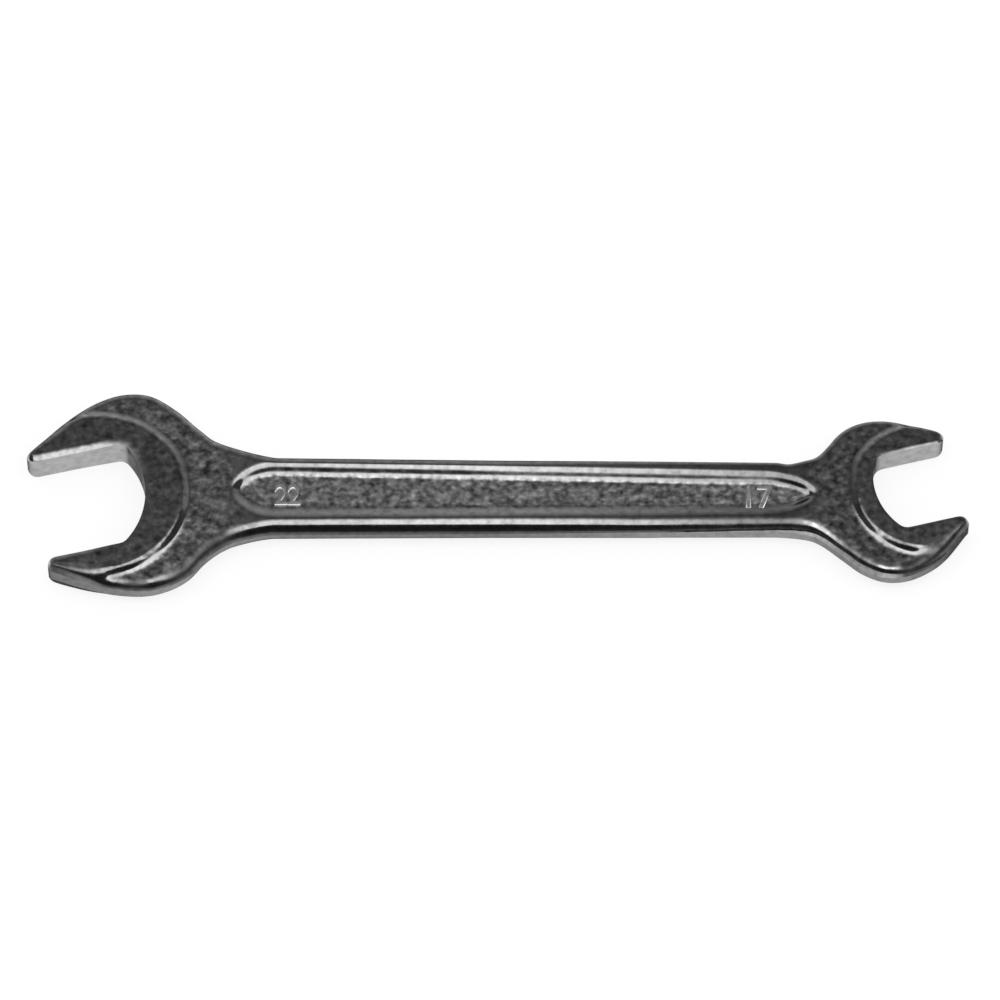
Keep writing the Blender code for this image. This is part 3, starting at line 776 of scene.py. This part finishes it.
# A size number raised on the panel's floor: bevelled letters turned into a mesh, narrowed across and flattened,
# then laid on the floor. The one on the underside is the same number turned over along the shank.
def makeNumber(text, place, size, width):
    number = {"proud": 0.00026, "bevel": 0.00036, "squash": 0.45, "stroke": -0.00006, "sunk": 0.00040,
              "finish": {"grain": 0.25, "tone": 1.0, "satin": 0.9, "mottle": 0.5}}
    curve = bpy.data.curves.new("number", "FONT")
    curve.body = text
    curve.align_x = curve.align_y = "CENTER"
    curve.size = size
    curve.offset = number["stroke"]
    curve.extrude = number["sunk"]
    curve.bevel_depth = number["bevel"]
    curve.bevel_resolution = 3
    drawn = bpy.data.objects.new("number", curve)
    bpy.context.collection.objects.link(drawn)
    bpy.context.view_layer.update()
    mesh = bpy.data.meshes.new_from_object(drawn)
    bpy.data.objects.remove(drawn)
    count = len(mesh.vertices)
    flat = np.empty(count * 3)
    mesh.vertices.foreach_get("co", flat)
    p = flat.reshape(-1, 3) * (width, 1, number["squash"])
    x, y = p[:, 0], p[:, 1]
    floor = faceHeight(np.array([place[0]]), np.array([place[1]]))[0]
    lift = floor + number["proud"] - p[:, 2].max()
    made = []
    for side, name in ((1, "top"), (-1, "under")):
        copy = mesh.copy()
        placed = np.stack([place[0] + x, place[1] + side * y, forging["midHeight"] + side * (p[:, 2] + lift)], -1)
        copy.vertices.foreach_set("co", placed.reshape(-1))
        for attribute, value in number["finish"].items():
            layer = copy.attributes.new(attribute, "FLOAT", "POINT")
            layer.data.foreach_set("value", np.full(count, value, np.float32))
        copy.update()
        copy.shade_smooth()
        copy.set_sharp_from_angle(angle=math.radians(50))
        piece = bpy.data.objects.new("size_number_" + text + "_" + name, copy)
        bpy.context.collection.objects.link(piece)
        made.append(piece)
    print("number", text, "made:", count, "vertices each")
    return made


# The table: white where it is seen or mirrored, with the object's soft shadow kept.
def makeFloor():
    look = {"size": 6.0, "colour": (0.9, 0.9, 0.9, 1), "whiteShare": 0.84, "drop": 0.00002}
    mesh = bpy.data.meshes.new("tableSurface")
    s = look["size"] / 2
    mesh.from_pydata([(-s, -s, 0), (s, -s, 0), (s, s, 0), (-s, s, 0)], [], [(0, 1, 2, 3)])
    floor = bpy.data.objects.new("table", mesh)
    bpy.context.collection.objects.link(floor)
    material = bpy.data.materials.new("white_table")
    material.use_nodes = True
    tree = material.node_tree
    tree.nodes.clear()
    diffuse = addNode(tree, "ShaderNodeBsdfDiffuse", {"Color": look["colour"]})
    glow = addNode(tree, "ShaderNodeEmission", {"Color": (1, 1, 1, 1), "Strength": 1.0})
    share = addMath(tree, "MULTIPLY", seenDirectly(tree), look["whiteShare"])
    mix = addNode(tree, "ShaderNodeMixShader", {"Fac": share, 1: diffuse.outputs[0], 2: glow.outputs[0]})
    addNode(tree, "ShaderNodeOutputMaterial", {"Surface": mix.outputs[0]})
    floor.data.materials.append(material)
    floor.location.z = -look["drop"]
    print("table made")


# Studio cards for reflections: a long half tube round the table whose tone follows the angle from overhead. At an
# angle a the tube passes through (x, R sin a, R cos a), and a disc closes each end.
def makeCards():
    cards = {
        "radius": 1.8,
        "length": 5.0,
        "endTone": 0.03,
        # the bright strip overhead is shorter than the tube: full inside the first distance, none past the second
        "strip": (1.30, 1.55),
        "stripAngles": (-27, 28),
        "besideStrip": 0.05,
        # a weak light to the right, behind the strip
        "sideAngles": (34, 60),
        "sideTone": 0.22,
        # degrees from overhead, positive to the back, and the tone there
        "tones": [(-112, 0.30), (-100, 0.16), (-84, 0.13), (-66, 0.09), (-50, 0.015), (-26, 0.018),
                  (-21, 1.35), (5, 1.35), (10, 1.10), (15, 0.72), (20, 0.40), (25, 0.17), (30, 0.10),
                  (36, 0.09), (44, 0.10), (60, 0.19), (80, 0.33), (100, 0.40), (112, 0.42)],
    }
    angles = np.radians(np.arange(-95.0, 95.5, 1.0))
    # along the tube: the middle of one end, its rim on the disc and on the tube, the strip's two limits and its
    # middle, and the same for the other end
    half, (full, none) = cards["length"] / 2, cards["strip"]
    along = np.array([-half, -half, -half, -none, -full, 0, full, none, half, half, half])
    spread = np.array([0, 0.998, 1, 1, 1, 1, 1, 1, 1, 0.998, 0]) * cards["radius"]
    discs, leftOfStrip, rightOfStrip = [0, 1, 9, 10], [2, 3], [7, 8]
    sines, cosines = np.sin(angles)[:, None], np.cos(angles)[:, None]
    grid = np.stack([along + 0 * sines, spread * sines, spread * cosines], -1)
    ids = np.arange(len(angles) * len(along)).reshape(len(angles), len(along))
    mesh = bpy.data.meshes.new("studioCardSurface")
    mesh.from_pydata(grid.reshape(-1, 3).tolist(), [], gridFaces(ids).tolist())
    degrees, tones = zip(*cards["tones"])
    tone = np.interp(np.degrees(angles), degrees, tones)[:, None] + 0 * along

    # the tube's vertices between two angles and in some of its columns
    def part(limits, columns):
        low, high = (math.radians(a) for a in limits)
        return np.ix_((angles > low) & (angles < high), columns)

    beside = part(cards["stripAngles"], leftOfStrip + rightOfStrip)
    tone[beside] = np.minimum(tone[beside], cards["besideStrip"])
    tone[part(cards["sideAngles"], rightOfStrip)] = cards["sideTone"]
    tone[:, discs] = cards["endTone"]
    layer = mesh.attributes.new("tone", "FLOAT", "POINT")
    layer.data.foreach_set("value", tone.reshape(-1).astype(np.float32))
    card = bpy.data.objects.new("studio_cards", mesh)
    bpy.context.collection.objects.link(card)
    material = bpy.data.materials.new("studio_card")
    material.use_nodes = True
    tree = material.node_tree
    tree.nodes.clear()
    painted = addNode(tree, "ShaderNodeAttribute", attribute_name="tone")
    glow = addNode(tree, "ShaderNodeEmission", {"Strength": painted.outputs["Fac"]})
    addNode(tree, "ShaderNodeOutputMaterial", {"Surface": glow.outputs[0]})
    mesh.materials.append(material)
    card.visible_camera = False
    card.visible_diffuse = False
    card.visible_shadow = False
    card.visible_transmission = False
    print("studio cards made")


# A wide soft lamp overhead and an even world, which is white where it is seen or mirrored.
def makeLight():
    light = {"power": 12.5, "size": (3.0, 0.7), "place": (0, -0.18, 1.2), "tilt": -8.5, "world": 0.78}
    lamp = bpy.data.lights.new("overhead_softbox", "AREA")
    lamp.shape = "RECTANGLE"
    lamp.size, lamp.size_y = light["size"]
    lamp.energy = light["power"]
    holder = bpy.data.objects.new("overhead_softbox", lamp)
    holder.location = light["place"]
    holder.rotation_euler = (math.radians(light["tilt"]), 0, 0)
    holder.visible_glossy = False
    holder.visible_camera = False
    bpy.context.collection.objects.link(holder)
    world = bpy.data.worlds.new("studio")
    bpy.context.scene.world = world
    world.use_nodes = True
    tree = world.node_tree
    tree.nodes.clear()
    even = addNode(tree, "ShaderNodeBackground", {"Color": (1, 1, 1, 1), "Strength": light["world"]})
    white = addNode(tree, "ShaderNodeBackground", {"Color": (1, 1, 1, 1), "Strength": 1.0})
    mix = addNode(tree, "ShaderNodeMixShader", {"Fac": seenDirectly(tree), 1: even.outputs[0], 2: white.outputs[0]})
    addNode(tree, "ShaderNodeOutputWorld", {"Surface": mix.outputs[0]})
    print("light made")


# A long lens at the photograph's angle, as far off as makes the frame as wide as the photograph's.
def makeCamera():
    shot = {"lens": 300.0, "sensor": 36.0, "azimuth": math.radians(0.26), "elevation": math.radians(60.0),
            "target": (0.000605, -0.000786, 0.0035), "width": 1.0 / 5.09}
    data = bpy.data.cameras.new("camera")
    data.lens, data.sensor_width = shot["lens"], shot["sensor"]
    camera = bpy.data.objects.new("camera", data)
    bpy.context.collection.objects.link(camera)
    a, e = shot["azimuth"], shot["elevation"]
    back = Vector((math.sin(a) * math.cos(e), -math.cos(a) * math.cos(e), math.sin(e)))
    distance = shot["width"] * shot["lens"] / shot["sensor"]
    camera.location = Vector(shot["target"]) + back * distance
    camera.rotation_mode = "QUATERNION"
    camera.rotation_quaternion = (-back).to_track_quat("-Z", "Y")
    data.clip_start, data.clip_end = 0.05, 30.0
    bpy.context.scene.camera = camera
    print("camera made")


steel = platedSteel()
wrench = makeBody()
wrench.data.materials.append(steel)
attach(wrench, "root")
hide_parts("forged_body")

numbers = {"22": {"place": (-0.04110, -0.0010), "size": 0.0064, "width": 0.80},
           "17": {"place": (0.05095, -0.0011), "size": 0.0074, "width": 0.86}}
for text, setting in numbers.items():
    for piece in makeNumber(text, setting["place"], setting["size"], setting["width"]):
        piece.data.materials.append(steel)
        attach(piece, "root")
        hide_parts("forged_body")

makeFloor()
makeCards()
makeLight()
makeCamera()
bpy.context.scene.view_settings.view_transform = "Standard"
